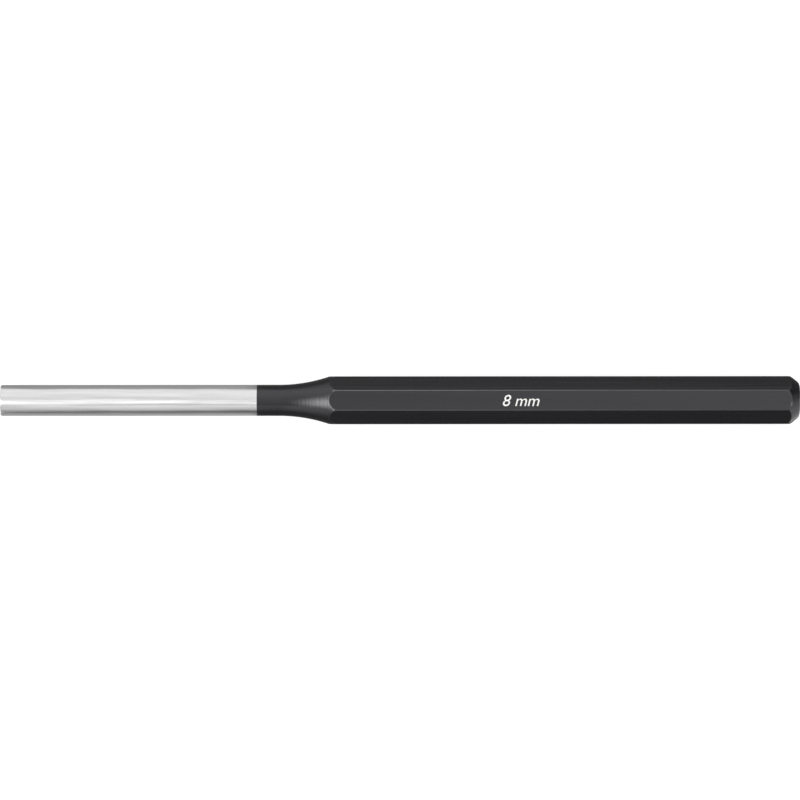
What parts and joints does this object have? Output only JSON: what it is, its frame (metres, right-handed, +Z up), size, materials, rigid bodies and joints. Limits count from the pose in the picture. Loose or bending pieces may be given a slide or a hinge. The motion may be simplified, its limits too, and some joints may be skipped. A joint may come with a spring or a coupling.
{
  "type": "pin punch",
  "caption": "Pin punch: long ground cylindrical pin for driving out pins, concave turned neck, black octagonal shank and a crowned, chamfered striking end.",
  "frame": {"origin": "under the middle of the punch's length, on the surface that its lowest flat rests on; the punch's axis is 6 mm above it", "axes": "+X along the axis, towards the striking end, so the working tip is at -X; +Z up, square to the flat that the punch rests on; flats also face +Y and -Y"},
  "size_m": [0.2, 0.012, 0.012],
  "materials": {
    "ground_steel": "satin",
    "black_coat": "satin"
  },
  "bodies": {
    "root": {"driving_pin": "ground_steel", "neck": "black_coat", "octagonal_shank": "black_coat", "striking_head": "black_coat"}
  },
  "joints": []
}
